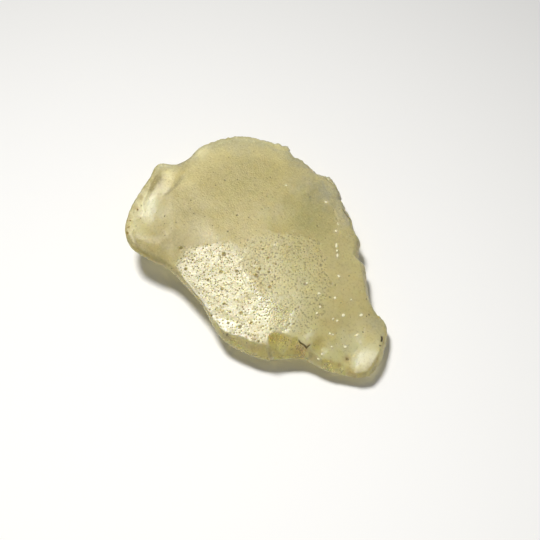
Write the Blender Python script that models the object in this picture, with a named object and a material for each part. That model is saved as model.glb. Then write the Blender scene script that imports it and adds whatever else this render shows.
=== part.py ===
# Libyan desert glass: one wind-worn flake of natural yellow-green silica glass.
# It lies on a small flat spot of its belly, with the blunt head (-X) lifted and the
# narrow toe (+X) low. The origin is on the surface it lies on, under the middle of its
# footprint; +X runs from head to toe and +Z is up.

import math

import bmesh
import bpy
from mathutils import Vector
from mathutils.geometry import interpolate_bezier

MM = 0.001

# Driving dimensions, in millimetres
MID_RIM_HEIGHT = 4.0  # height of the sharp edge above the floor, at the middle of the length
RIM_TILT = 0.093  # fall of that edge for each millimetre towards the toe
THIN_EDGE = 0.45  # blunt edge, top to bottom, round the head
EDGE_GROWTH = 0.028  # how much blunter it is for each millimetre past the middle
EDGE_INSET = 0.25
CROWN_HEIGHT = 2.6  # rise of the top above the plane of the edge
CROWN_POWER = 2.3
BELLY_POWER = 2.1
BELLY_SWELL = 0.3
FLAT_CENTRE = Vector((-2.4, -0.5))
FLAT_HALF_LENGTH = 6.6
FLAT_HALF_WIDTH = 4.2
CROWN_CENTRE = Vector((-1.5, 0.2))

# How finely the outline and the two faces are divided
STEPS_PER_SPAN = 3
TOP_RINGS = (0.965, 0.92, 0.865, 0.8, 0.725, 0.64, 0.55, 0.45, 0.34, 0.22, 0.1)
BELLY_RINGS = (0.06, 0.14, 0.23, 0.33, 0.44, 0.55, 0.66, 0.77, 0.88, 1.0)
RELAX_ROUNDS = 10  # each ring further in loses more of the edge's small notches

# The edge seen from above, in millimetres, anticlockwise from the tip of the toe
OUTLINE = [
    (23.35, -2.9), (22.7, -0.4), (21.2, 2.1), (19.6, 3.7), (16.7, 4.1), (14.2, 5.5), (10.9, 8.4),
    (9.5, 8.6), (7.7, 10.8), (5.5, 11.7), (3.7, 12.9), (1.2, 13.8), (-0.6, 14.9), (-3.5, 15.6),
    (-5.3, 14.8), (-8.7, 14.75), (-10.0, 14.2), (-12.1, 15.0), (-13.9, 13.8), (-17.6, 11.5),
    (-19.5, 9.4), (-20.9, 5.8), (-21.2, 4.0), (-20.85, 1.9), (-21.5, -0.5), (-23.35, -2.3),
    (-22.4, -5.0), (-21.6, -7.8), (-20.2, -11.2), (-18.2, -13.9), (-15.4, -15.2), (-12.2, -14.6),
    (-9.4, -13.6), (-5.4, -13.6), (-1.2, -13.9), (2.0, -15.0), (4.7, -15.6), (8.4, -14.8),
    (11.2, -13.4), (13.2, -11.0), (15.0, -9.2), (18.4, -8.1), (21.2, -6.4), (23.1, -4.8),
]

# Broad swellings and hollows of the top: centre x, y, half widths along x and y, rise
TOP_FORMS = [
    (-1.0, 9.6, 4.2, 3.6, -0.45),  # smooth hollow near the far edge
    (4.5, 1.5, 7.0, 5.0, 0.25),  # swell across the middle
    (-13.0, -10.5, 4.0, 3.5, -0.35),  # dip beside the near head corner
    (16.0, -3.2, 2.6, 3.2, -0.3),  # saddle before the toe
    (19.8, -0.6, 2.4, 2.4, 0.3),  # knob of the toe
]

# Worn bevel along the head: a line on the top, and how steeply it falls outside the line
BEVEL_START = Vector((-20.3, 2.0))
BEVEL_END = Vector((-17.2, -12.0))
BEVEL_FALL = 0.34
BEVEL_SOFTNESS = 0.8

# Shell-shaped chips struck off the edge: centre x, y and radius. Each ball that shapes one
# ends just above the sharp edge, so the outline stays whole.
CHIP_FLOOR = 0.1
CHIPS = [
    (12.3, -10.8, 5.0),
    (6.6, -15.2, 4.2),
    (16.4, -8.8, 4.6),
    (-3.2, -13.9, 3.4),
    (20.2, -7.0, 3.6),
    (9.3, 9.6, 3.6),
    (-21.2, 1.9, 4.4),
    (-7.2, 15.0, 4.4),
    (1.6, 13.9, 3.6),
]

GLASS_COLOUR = (0.53, 0.46, 0.22, 1.0)
GLASS_ROUGHNESS = 0.32
GLASS_IOR = 1.46


def clear_scene():
    for thing in list(bpy.data.objects):
        bpy.data.objects.remove(thing, do_unlink=True)


def smooth_loop(points, steps):
    # a closed curve through the points, with handles along the chord of the two neighbours
    loop = []
    count = len(points)
    for i in range(count):
        before, here, there, after = (Vector(points[(i + k) % count]) for k in (-1, 0, 1, 2))
        reach = (there - here).length / 3
        out_handle = here + (there - before).normalized() * reach
        in_handle = there - (after - here).normalized() * reach
        loop += interpolate_bezier(here, out_handle, in_handle, there, steps + 1)[:-1]
    return [Vector(point[:2]) for point in loop]


def relaxed(loop):
    # every point moves to the middle of its two neighbours, many times over
    for _ in range(RELAX_ROUNDS):
        loop = [(loop[i - 1] + 2 * loop[i] + loop[(i + 1) % len(loop)]) / 4 for i in range(len(loop))]
    return loop


def rim_height(x):
    return MID_RIM_HEIGHT - RIM_TILT * x


def half_edge(x):
    return (THIN_EDGE + EDGE_GROWTH * max(0, x)) / 2


def bevel_drop(place):
    # distance outside the bevel's line, with a soft start
    along = (BEVEL_END - BEVEL_START).normalized()
    outward = Vector((along.y, -along.x))
    side = (place - BEVEL_START).dot(outward)
    soft = (side + math.sqrt(side * side + BEVEL_SOFTNESS ** 2)) / 2
    return BEVEL_FALL * soft


def top_height(place, share):
    # share is 0 at the crown's centre and 1 on the edge
    height = rim_height(place.x) + half_edge(place.x)
    height += CROWN_HEIGHT * (1 - share ** CROWN_POWER)
    fade = 1 - share ** 6
    for x, y, half_x, half_y, rise in TOP_FORMS:
        spread = ((place.x - x) / half_x) ** 2 + ((place.y - y) / half_y) ** 2
        height += fade * rise * math.exp(-spread)
    return height - fade * bevel_drop(place)


def flat_spot(direction):
    # edge of the resting facet in a given direction from its centre
    angle = math.atan2(direction.y / FLAT_HALF_WIDTH, direction.x / FLAT_HALF_LENGTH)
    return FLAT_CENTRE + Vector((FLAT_HALF_LENGTH * math.cos(angle), FLAT_HALF_WIDTH * math.sin(angle)))


def belly_height(place, share):
    # share is 0 on the edge and 1 on the resting facet
    edge = rim_height(place.x) - half_edge(place.x)
    lumps = BELLY_SWELL * math.sin(0.42 * place.x + 0.9) * math.cos(0.5 * place.y - 0.4)
    return edge * (1 - share) ** BELLY_POWER + lumps * share * (1 - share) ** 2 * 4


def add_ring(bm, places):
    verts = [bm.verts.new(place) for place in places]
    return [bm.edges.new((verts[i - 1], verts[i])) for i in range(len(verts))]


def build_body():
    outline = smooth_loop(OUTLINE, STEPS_PER_SPAN)
    rings = []
    for side in (-1, 0, 1):
        ring = []
        for edge in outline:
            place = edge - (edge - CROWN_CENTRE).normalized() * EDGE_INSET * abs(side)
            ring.append((place.x, place.y, rim_height(edge.x) + side * half_edge(edge.x)))
        rings.append(ring)
    loop = outline
    for share in BELLY_RINGS:
        loop = relaxed(loop)
        ring = []
        for edge in loop:
            place = edge.lerp(flat_spot(edge - FLAT_CENTRE), share)
            ring.append((place.x, place.y, belly_height(place, share)))
        rings.insert(0, ring)
    loop = outline
    for share in TOP_RINGS:
        loop = relaxed(loop)
        ring = []
        for edge in loop:
            place = CROWN_CENTRE.lerp(edge, share)
            ring.append((place.x, place.y, top_height(place, share)))
        rings.append(ring)

    bm = bmesh.new()
    loops = [add_ring(bm, ring) for ring in rings]
    for low, high in zip(loops, loops[1:]):
        bmesh.ops.bridge_loops(bm, edges=low + high)
    bm.faces.new([edge.verts[1] for edge in loops[0]])
    crown = bm.verts.new((CROWN_CENTRE.x, CROWN_CENTRE.y, top_height(CROWN_CENTRE, 0)))
    for edge in loops[-1]:
        bm.faces.new((*edge.verts, crown))
    for vert in bm.verts:
        vert.co *= MM
    bmesh.ops.recalc_face_normals(bm, faces=bm.faces)
    mesh = bpy.data.meshes.new("desert_glass")
    bm.to_mesh(mesh)
    bm.free()
    body = bpy.data.objects.new("desert_glass", mesh)
    bpy.context.collection.objects.link(body)
    return body


def cut_chips(body):
    for number, (x, y, radius) in enumerate(CHIPS, start=1):
        bm = bmesh.new()
        bmesh.ops.create_icosphere(bm, subdivisions=3, radius=radius * MM)
        mesh = bpy.data.meshes.new(f"chip_cutter_{number}")
        bm.to_mesh(mesh)
        bm.free()
        cutter = bpy.data.objects.new(mesh.name, mesh)
        cutter.location = Vector((x, y, rim_height(x) + CHIP_FLOOR + radius)) * MM
        cutter.hide_render = True
        cutter.display_type = "WIRE"
        bpy.context.collection.objects.link(cutter)
        cut = body.modifiers.new(f"chip {number}", "BOOLEAN")
        cut.operation = "DIFFERENCE"
        cut.solver = "EXACT"
        cut.object = cutter


def glass_material():
    material = bpy.data.materials.new("desert glass")
    material.use_nodes = True
    shader = material.node_tree.nodes["Principled BSDF"]
    shader.inputs["Base Color"].default_value = GLASS_COLOUR
    shader.inputs["Roughness"].default_value = GLASS_ROUGHNESS
    shader.inputs["Metallic"].default_value = 0.0
    shader.inputs["IOR"].default_value = GLASS_IOR
    shader.inputs["Transmission Weight"].default_value = 0.7
    return material


clear_scene()
glass = build_body()
cut_chips(glass)
glass.data.materials.append(glass_material())
glass.data.shade_smooth()
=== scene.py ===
import math

import bmesh
import bpy
import numpy as np
from mathutils import Matrix, Vector, kdtree, noise
from mathutils.bvhtree import BVHTree
from mathutils.geometry import delaunay_2d_cdt


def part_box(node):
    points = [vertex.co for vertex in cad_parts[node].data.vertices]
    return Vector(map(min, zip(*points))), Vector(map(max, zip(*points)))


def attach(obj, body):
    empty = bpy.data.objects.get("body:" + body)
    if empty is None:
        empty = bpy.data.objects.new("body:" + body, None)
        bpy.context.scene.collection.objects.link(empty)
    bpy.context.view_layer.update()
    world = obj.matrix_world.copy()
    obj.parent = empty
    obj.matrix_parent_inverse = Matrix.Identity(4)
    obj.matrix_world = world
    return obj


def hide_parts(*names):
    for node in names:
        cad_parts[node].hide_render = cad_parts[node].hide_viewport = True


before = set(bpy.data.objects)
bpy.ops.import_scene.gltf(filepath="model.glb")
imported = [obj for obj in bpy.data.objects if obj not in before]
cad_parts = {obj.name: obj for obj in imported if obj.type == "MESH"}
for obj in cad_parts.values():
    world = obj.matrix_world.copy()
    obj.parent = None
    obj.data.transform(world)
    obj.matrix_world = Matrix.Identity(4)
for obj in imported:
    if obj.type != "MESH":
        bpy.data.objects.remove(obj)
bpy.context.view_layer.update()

mm = 0.001

# A worn flake of desert glass on a pale floor. Lengths are in millimetres until a mesh is made.
# Places named by pixel are read off the photograph, 540 across, and cast onto the glass.

camera = {
    "azimuth": 45.0,  # degrees round the piece, 0 looks along +Y
    "elevation": 60.0,
    "distance": 191.25,
    "target": (1.53, -2.58, 4.0),
    "lens": 85.0,
    "sensor": 36.0,
    "pixels": 540,
    "nearest": 10.0,
}


def cameraAxes():
    turn = math.radians(camera["azimuth"])
    tilt = math.radians(camera["elevation"])
    back = Vector((math.sin(turn) * math.cos(tilt), -math.cos(turn) * math.cos(tilt), math.sin(tilt)))
    right = Vector((math.cos(turn), math.sin(turn), 0))
    return right, back.cross(right), back


def makeCamera():
    back = cameraAxes()[2]
    lens = bpy.data.cameras.new("photo_view")
    lens.lens = camera["lens"]
    lens.sensor_width = camera["sensor"]
    lens.clip_start = camera["nearest"] * mm
    eye = linked(lens.name, lens)
    eye.location = (Vector(camera["target"]) + back * camera["distance"]) * mm
    eye.rotation_euler = back.to_track_quat("Z", "Y").to_euler()
    bpy.context.scene.camera = eye


def linked(name, data):
    thing = bpy.data.objects.new(name, data)
    bpy.context.collection.objects.link(thing)
    return thing


stone = {
    "node": "desert_glass",
    "lift": 0.03,  # the floor lies this far below the resting facet, so the two never coincide
    "crown": (-1.5, 0.2),  # middle of the top, where the rays that find the edge start
    "edgeSpacing": 0.125,
    "edgeSoftening": 6,  # rounds of smoothing
    "insetSoftening": 4,
    "coarse": 0.18,  # spacing of the top's points
    "fine": 0.11,  # and in the pitted zones
    "join": 0.12,  # left free between the two
    "bellySpacing": 0.30,
    "edgeInsets": (0.02, 0.07, 0.15, 0.26, 0.4),
    "edgeRound": 0.34,
    "edgeHalf": 0.24,  # half the blunt edge's height at the head
    "edgeGrowth": 0.011,  # how much more for each mm past the middle
    "farThin": 0.5,  # how much less along the far edge
    "farSlant": 0.3,
    "farBetween": (0.0, 6.0),
    "reach": 2.5,  # how fast the faces leave the edge
    "bellyRoughBy": 1.0,  # the belly is at its roughest this far from the edge
    "bellyRoughHeights": (0.05, 0.5),  # and smooth where it is lower than the first of these
    "grain": 0.6,  # share of the finest unevenness outside the pitted zones
    "grainFresh": 0.5,  # how much less of it there is in a chip
    "grainBy": 0.6,
    "seed": 7,
}


def evenlySpaced(points, spacing):
    # the same closed loop with its points an even distance apart
    closed = np.vstack([points, points[:1]])
    run = np.concatenate([[0], np.cumsum(np.hypot(*np.diff(closed, axis=0).T))])
    count = round(run[-1] / spacing)
    at = np.arange(count) * run[-1] / count
    return np.stack([np.interp(at, run, closed[:, k]) for k in (0, 1)], 1)


def softened(points, rounds):
    for _ in range(rounds):
        points = (np.roll(points, 1, 0) + 2 * points + np.roll(points, -1, 0)) / 4
    return points


def outward(points):
    along = np.roll(points, -1, 0) - np.roll(points, 1, 0)
    across = np.stack([along[:, 1], -along[:, 0]], 1)
    return across / np.linalg.norm(across, axis=1)[:, None]


def ease(value, low, high):
    share = np.clip((value - low) / (high - low), 0, 1)
    return share * share * (3 - 2 * share)


def between(first, second, share):
    return first + (second - first) * share


def lower(first, second, soft):
    # the lower of two heights, rounded where they meet
    share = np.clip(0.5 + 0.5 * (second - first) / soft, 0, 1)
    return second * (1 - share) + first * share - soft * share * (1 - share)


def higher(first, second, soft):
    return -lower(-first, -second, soft)


def positive(value, soft):
    # the value where it is above zero, with a soft start
    return (value + np.sqrt(value * value + soft * soft)) / 2


def bell(gap, reach):
    # 1 where the gap is none, fading with distance
    return np.exp(-(gap / reach) ** 2)


def fromLine(points, x, y):
    # distance from a line through the points, and how far along it the nearest place is
    gap = np.full(len(x), 1e9)
    reach = np.zeros(len(x))
    run = 0
    for (ax, ay), (bx, by) in zip(points, points[1:]):
        length = math.hypot(bx - ax, by - ay)
        share = np.clip(((x - ax) * (bx - ax) + (y - ay) * (by - ay)) / length ** 2, 0, 1)
        here = np.hypot(x - ax - share * (bx - ax), y - ay - share * (by - ay))
        reach = np.where(here < gap, run + share * length, reach)
        gap = np.minimum(gap, here)
        run += length
    return gap, reach


def insideLoop(loop, x, y):
    # crossings of a ray towards +X
    inside = np.zeros(len(x), bool)
    x0, y0 = loop[:, 0], loop[:, 1]
    x1, y1 = np.roll(x0, -1), np.roll(y0, -1)
    for a, b, c, d in zip(x0, y0, x1, y1):
        spans = (b > y) != (d > y)
        if spans.any():
            cut = a + (y[spans] - b) / (d - b) * (c - a)
            inside[spans] ^= x[spans] < cut
    return inside


def fromOutline(corners, x, y):
    # distance from a closed outline, positive inside it
    corners = np.array(corners, float)
    gap = fromLine(np.vstack([corners, corners[:1]]), x, y)[0]
    return np.where(insideLoop(corners, x, y), gap, -gap)


def searchTree(x, y):
    tree = kdtree.KDTree(len(x))
    for number in range(len(x)):
        tree.insert((x[number], y[number], 0), number)
    tree.balance()
    return tree


# Unevenness by kind: wavelength, height, a level of the noise of its own, number of octaves
swells = {
    "broad": (5.0, 0.055, 0, 2),
    "middle": (1.7, 0.014, 9, 2),
    "grain": (0.50, 0.0050, 20, 3),
    "belly": (2.6, 0.10, 30, 4),
    "face": (4.0, 0.05, 40, 3),
    "blotch": (1.2, 1.0, 60, 3),
    "broken": (0.8, 0.24, 80, 3),  # in the chips
    "edge": (1.3, 0.50, 0, 3),
}
octaves = (0.7, 2.0)  # how much flatter and how much finer each octave is


def waves(kind, x, y, further=0):
    # fractal noise, up to about the height of its kind either way
    wavelength, height, level, count = swells[kind]
    scale = 1 / wavelength
    deep = (level + further) * scale + stone["seed"]
    spots = [Vector((a, b, deep)) for a, b in zip(x * scale, y * scale)]
    return np.array([noise.fractal(spot, *octaves, count) for spot in spots]) * height


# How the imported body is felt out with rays
cast = {
    "rays": 1440,
    "inside": 2.0,  # all of them are inside the edge here
    "outside": 40.0,  # and outside it here
    "error": 0.004,
    "height": 100.0,
    "step": 0.3,  # between the rays that find the two faces
    "blur": 3.0,  # in steps
    "rimBand": 0.7,  # the edge's plane is fitted to what lies this near the edge
    "leastDepth": 0.15,
    "rounds": 12,  # to find the place under a pixel
}


def castBody():
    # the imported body's edge from above and the heights of its two faces
    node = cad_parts[stone["node"]]
    tree = BVHTree.FromObject(node, bpy.context.evaluated_depsgraph_get())
    low, high = (Vector(corner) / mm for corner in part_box(stone["node"]))

    def hit(x, y, side):
        start = Vector((x, y, side * cast["height"])) * mm
        found = tree.ray_cast(start, Vector((0, 0, -side)))[0]
        return None if found is None else found.z / mm

    startX, startY = stone["crown"]
    edge = []
    for angle in np.linspace(0, 2 * math.pi, cast["rays"], endpoint=False):
        inside, outside = cast["inside"], cast["outside"]
        while outside - inside > cast["error"]:
            middle = (inside + outside) / 2
            if hit(startX + middle * math.cos(angle), startY + middle * math.sin(angle), 1) is None:
                outside = middle
            else:
                inside = middle
        edge.append((startX + inside * math.cos(angle), startY + inside * math.sin(angle)))

    step = cast["step"]
    xs = np.arange(low.x - 2 * step, high.x + 3 * step, step)
    ys = np.arange(low.y - 2 * step, high.y + 3 * step, step)
    top = np.full((len(ys), len(xs)), np.nan)
    belly = top.copy()
    for row, y in enumerate(ys):
        for column, x in enumerate(xs):
            above = hit(x, y, 1)
            below = hit(x, y, -1)
            if above is not None and below is not None:
                top[row, column] = above
                belly[row, column] = below
    return np.array(edge), xs, ys, top, belly


def blurred(grid, spread):
    # Gaussian blur that leaves the empty cells out of every average
    weights = np.exp(-0.5 * (np.arange(-3 * spread, 3 * spread + 1) / spread) ** 2)
    known = ~np.isnan(grid)
    sums = np.where(known, grid, 0.0)
    counts = known.astype(float)
    for axis in (0, 1):
        sums = np.apply_along_axis(np.convolve, axis, sums, weights, "same")
        counts = np.apply_along_axis(np.convolve, axis, counts, weights, "same")
    return sums / np.maximum(counts, 1e-9)


def readGrid(grid, xs, ys, x, y):
    # each place is kept just inside the last cell
    column = np.clip((x - xs[0]) / (xs[1] - xs[0]), 0, len(xs) - 1.001)
    row = np.clip((y - ys[0]) / (ys[1] - ys[0]), 0, len(ys) - 1.001)
    c = column.astype(int)
    r = row.astype(int)
    u = column - c
    v = row - r
    near = grid[r, c] * (1 - u) + grid[r, c + 1] * u
    far = grid[r + 1, c] * (1 - u) + grid[r + 1, c + 1] * u
    return near * (1 - v) + far * v


# The top is the lowest of these faces at each place: a point on the face, its slope along
# x and y, how fast it curves down towards -x, towards +x and along y, and how softly it
# meets the faces before it
faces = {
    "crown": {"at": (-2.0, 4.0, 7.06), "slope": (0.0, 0.0), "bend": (0.0, 0.0035, 0.0042)},
    "pitted": {"at": (-8.0, -8.0, 6.42), "slope": (-0.012, 0.185), "bend": (0.0, 0.0, 0.0), "soft": 0.14},
    "right": {"at": (10.5, 3.1, 5.97), "slope": (-0.36, -0.055), "bend": (0.0, 0.0, 0.0), "soft": 0.45},
    "far": {"at": (3.0, 6.0, 6.15), "slope": (-0.13, -0.14), "bend": (0.0, 0.0, 0.0), "soft": 0.6},
}
headCrown = {"at": (-8.0, -8.0, 6.94), "slope": (0.0, 0.015), "bend": (0.0012, 0.0, 0.0042)}
headFade = (-10.0, -1.0)  # the crown turns into the head's from one x to the other
pittedFade = (-13.5, -7.5)  # and the pitted face comes in between these
borderRough = 4.0  # how far the unevenness moves a border, for each mm of its height
faceLevels = 7  # between the levels of one face and the next
toe = {
    "near": {"at": (19.0, -2.9, 3.25), "slope": (0.015, 0.175), "bend": (0.002, 0.003, 0.0)},
    "far": {"at": (20.0, -0.8, 3.65), "slope": (-0.05, -0.18), "bend": (0.0, 0.0, 0.0)},
    "from": 10.0,
    "rough": 0.8,
    "soft": 0.45,
}
# Worn bevel along the head: two ends of its middle line, the height at the first, its slope
# along and across that line, its half width, how it falls outside, and its inner border
bevel = {
    "ends": ((-20.9, -1.0), (-17.7, -11.0)),
    "height": 7.12,
    "along": -0.085,
    "sag": 0.004,  # and how much faster it falls further along
    "across": 0.09,
    "half": 0.9,
    "outside": 0.22,
    "outsideSoft": 0.5,
    "rough": 0.6,
    "inner": (0.7, 1.9),  # it gives way to the crown between these
    "wider": (0.09, 0.51),  # and at its far end that much further in for each mm
    "widerFrom": 3.0,
    "start": (-2.5, 0.5),
    "end": (9.5, 14.0),
}
# How steeply the top climbs from the edge before it meets the faces
shoulder = {
    "near": 0.9,
    "wall": 2.6,  # where chips have left a wall
    "wallBetween": (-8.0, -4.0),
    "far": 2.6,
    "farBetween": (-4.0, 6.0),
    "headNear": 0.6,
    "head": 0.7,
    "headBetween": (-19.5, -17.0),
    "start": 0.05,  # a first small step
    "startBy": 0.3,
    "rough": 6.0,
    "roughBy": 1.5,
    "soft": 0.30,
    "headSoft": 1.15,
    "softBetween": (-12.5, -8.0),
    "softBy": 1.0,
    "least": 0.01,
    "leastBy": 0.4,
}
# Hollow beyond a curved step: pixels along the step, then round the rest of it
hollow = {
    "step": [(258, 224), (268, 230), (276, 233), (285, 234.3), (294, 235), (303, 236.2), (311.6, 239.8),
             (319.6, 243), (330, 244), (343, 242)],
    "rest": [(356, 232), (346, 200), (322, 182), (286, 186), (262, 204)],
    "depth": 0.34,
    "reach": 0.9,
    "fade": 3.0,
}
# Shell-shaped chips along the edge: pixels along the border of each, how fast it drops inside
# that border and how far above the edge its floor ends. One that opens gently has the pixel
# of its deepest place, and how far around that it reaches.
chips = {
    "wide": {
        "border": [(273, 360), (271.8, 351), (268.8, 343), (268.2, 337.5), (269.5, 334.5), (272, 333),
                   (275.5, 332), (281, 332.8), (285, 334.8), (289, 335.4), (292, 337.2), (298, 337),
                   (299.3, 340.8), (303, 344.4), (307, 347.2), (309.5, 351), (310.5, 361)],
        "fall": 1.0,
        "lip": 0.22,
    },
    "strip": {
        "border": [(216, 339), (222, 334.2), (229, 336.3), (233, 336.4), (237.5, 339), (242, 341.2),
                   (247, 345.3), (252, 344.6), (258, 345.4), (264, 344.8), (268, 348), (271, 352.5),
                   (272.5, 360)],
        "fall": 0.6,
        "lip": 0.2,
    },
    "scoop": {
        "border": [(311, 363), (311.5, 352), (310.6, 346.5), (313.2, 342.5), (316, 339.4), (319, 336),
                   (323.5, 334.8), (329, 336.4), (332, 340), (336, 344), (338, 354), (334, 366)],
        "fall": 1.4,
        "lip": 0.7,
        "deepest": (316, 345),
        "around": 1.6,
    },
    "toe": {
        "border": [(319, 370), (322, 361), (325, 359.3), (329, 359.2), (335, 362.4), (341, 363),
                   (347, 365.2), (353, 369.4), (357, 375), (359, 384)],
        "fall": 0.6,
        "lip": 0.18,
    },
    "ledge": {
        "border": [(347, 202), (343.5, 207), (345.5, 211.5), (348.5, 216), (353, 221), (357, 224)],
        "fall": 0.3,
        "lip": 0.05,
    },
    "top": {
        "border": [(249, 130), (252, 139.5), (262, 142.5), (272, 147), (279, 151), (288, 151.5),
                   (293, 147)],
        "fall": 0.5,
        "lip": 0.05,
    },
    "upper": {
        "border": [(301, 154), (303, 163), (312, 173), (324, 178), (332, 184), (338, 186)],
        "fall": 0.6,
        "lip": 0.05,
    },
}
chipFloor = {
    "lipBy": 0.5,
    "rough": 0.5,
    "roughBy": 1.0,
    "brokenBetween": (0.05, 0.4),
    "freshBy": 0.25,
}

# Small swellings of the top: pixel, height, half length, half width and turn
knobs = [(312.5, 337, 0.26, 1.8, 0.8, 105), (357, 340, 0.20, 1.8, 1.4, 40)]

# Where the edge hangs lower: place, how much, how far around. It draws in there by a share.
edgeDips = [(8.0, -14.0, 0.5, 5.5), (-0.8, -14.4, -0.8, 4.3)]
drawIn = (-0.41, 0.41)

# The edge is nibbled most on the far side, and less again on its right
nibble = {
    "least": 0.2,
    "slant": 0.35,
    "between": (-4.0, 4.0),
    "rightLess": 0.8,
    "rightBetween": (3.0, 6.0),
}


def faceHeight(face, x, y):
    atX, atY, height = face["at"]
    dx, dy = x - atX, y - atY
    rise = face["slope"][0] * dx + face["slope"][1] * dy
    behind, ahead, across = face["bend"]
    return height + rise - np.where(dx < 0, behind, ahead) * dx * dx - across * dy * dy


def dipAt(x, y):
    total = 0
    for atX, atY, depth, reach in edgeDips:
        total = total + depth * bell(np.hypot(x - atX, y - atY), reach)
    return total


class Body:
    # the whole shape as two heights over each place on the floor
    def __init__(self):
        edge, self.xs, self.ys, top, belly = castBody()
        edge = softened(evenlySpaced(edge, stone["edgeSpacing"]), stone["edgeSoftening"])
        worn = ease(edge[:, 1] + nibble["slant"] * edge[:, 0], *nibble["between"])
        worn = worn * (1 - nibble["rightLess"] * ease(edge[:, 0], *nibble["rightBetween"]))
        bitten = np.abs(waves("edge", *edge.T)) * between(nibble["least"], 1, worn)
        edge = edge - outward(edge) * bitten[:, None]
        edge = edge + dipAt(*edge.T)[:, None] * np.array(drawIn)
        self.edge = evenlySpaced(edge, stone["edgeSpacing"])
        self.nearest = searchTree(*self.edge.T)

        gridX, gridY = np.meshgrid(self.xs, self.ys)
        depth = self.depth(gridX.ravel(), gridY.ravel()).reshape(gridX.shape)
        rimBand = ~np.isnan(top) & (depth < cast["rimBand"])
        middle = (top + belly)[rimBand] / 2
        columns = np.stack([np.ones(rimBand.sum()), gridX[rimBand], gridY[rimBand]], 1)
        self.plane = np.linalg.lstsq(columns, middle, rcond=None)[0]
        sag = self.rim(gridX, gridY) - self.edgeHalf(gridX, gridY) - belly
        self.bellyShare = blurred(sag / self.away(np.maximum(depth, cast["leastDepth"])), cast["blur"])
        self.placeForms()
        print("edge points", len(self.edge), "rim plane", np.round(self.plane, 3))

    def placeForms(self):
        # the hollow, the swellings and the chips are placed on the plain top
        self.hollow, self.knobs, self.chips = None, [], []
        step, rest = (seenAt(self, hollow[part])[:, :2] for part in ("step", "rest"))
        borders = [seenAt(self, chip["border"])[:, :2] for chip in chips.values()]
        swollen = marked(self, knobs)
        self.hollow = step, np.vstack([step[-1:], rest, step[:1]])
        self.knobs = [(*place[:2], *form) for place, form in swollen]
        for chip, border in zip(chips.values(), borders):
            here = dict(chip, border=border)
            if "deepest" in chip:
                here["deepest"] = seenAt(self, [chip["deepest"]])[0, :2]
            self.chips.append(here)

    def depth(self, x, y):
        return np.array([self.nearest.find((a, b, 0))[2] for a, b in zip(x, y)])

    def rim(self, x, y):
        return self.plane[0] + self.plane[1] * x + self.plane[2] * y - dipAt(x, y)

    def edgeHalf(self, x, y):
        half = stone["edgeHalf"] + stone["edgeGrowth"] * np.maximum(x, 0)
        return half * (1 - stone["farThin"] * ease(y + stone["farSlant"] * x, *stone["farBetween"]))

    def away(self, depth):
        return 1 - np.exp(-depth / stone["reach"])

    def edgeCurve(self, x, y, depth):
        share = 1 - np.clip(depth / stone["edgeRound"], 0, 1)
        return self.edgeHalf(x, y) * np.sqrt(1 - share * share)

    def top(self, x, y, depth):
        # height of the top without its pits and cracks, and where it is freshly chipped
        rough = waves("broad", x, y) + waves("middle", x, y)
        heights = {}
        for number, (name, face) in enumerate(faces.items()):
            heights[name] = faceHeight(face, x, y) + waves("face", x, y, faceLevels * number)
        crown = between(faceHeight(headCrown, x, y) + rough, heights["crown"], ease(x, *headFade))
        height = self.withBevel(crown, x, y, rough)
        sunk = lower(height, heights["pitted"], faces["pitted"]["soft"])
        height = between(height, sunk, ease(x + borderRough * rough, *pittedFade))
        for name in ("right", "far"):
            height = lower(height, heights[name], faces[name]["soft"])
        end = lower(faceHeight(toe["near"], x, y), faceHeight(toe["far"], x, y), toe["soft"])
        height = higher(height, np.where(x > toe["from"], end + toe["rough"] * rough, 0), toe["soft"])
        height = height - self.hollowDepth(x, y) + self.knobRise(x, y)
        height = height + rough * ease(depth, 0, shoulder["roughBy"])
        curve = self.rim(x, y) + self.edgeCurve(x, y, depth)
        height = self.withShoulder(height, curve, x, y, depth, rough)
        height, fresh = self.withChips(height, curve, x, y, depth, rough)
        return np.maximum(height, curve + shoulder["least"] * ease(depth, 0, shoulder["leastBy"])), fresh

    def withBevel(self, crown, x, y, rough):
        (startX, startY), (endX, endY) = bevel["ends"]
        length = math.hypot(endX - startX, endY - startY)
        wayX, wayY = (endX - startX) / length, (endY - startY) / length
        along = (x - startX) * wayX + (y - startY) * wayY
        across = (y - startY) * wayX - (x - startX) * wayY + borderRough * rough
        plane = bevel["height"] + bevel["along"] * along - bevel["sag"] * along * np.abs(along)
        plane = plane + bevel["across"] * across + bevel["rough"] * rough
        plane = plane - bevel["outside"] * positive(-bevel["half"] - across, bevel["outsideSoft"])
        past = np.maximum(along - bevel["widerFrom"], 0)
        low, high = (border + wider * past for border, wider in zip(bevel["inner"], bevel["wider"]))
        ends = ease(along, *bevel["start"]) * (1 - ease(along, *bevel["end"]))
        return between(crown, plane, (1 - ease(across, low, high)) * ends)

    def hollowDepth(self, x, y):
        if self.hollow is None:
            return 0
        step, rest = self.hollow
        inside = insideLoop(np.vstack([step, rest[1:-1]]), x, y)
        gap = fromLine(step, x, y)[0]
        fade = ease(fromLine(rest, x, y)[0], 0, hollow["fade"])
        return np.where(inside, hollow["depth"] * (1 - np.exp(-gap / hollow["reach"])) * fade, 0)

    def knobRise(self, x, y):
        total = 0
        for atX, atY, rise, length, width, turn in self.knobs:
            wayX, wayY = math.cos(math.radians(turn)), math.sin(math.radians(turn))
            along = ((x - atX) * wayX + (y - atY) * wayY) / length
            across = ((y - atY) * wayX - (x - atX) * wayY) / width
            total = total + rise * bell(np.hypot(along, across), 1)
        return total

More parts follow.
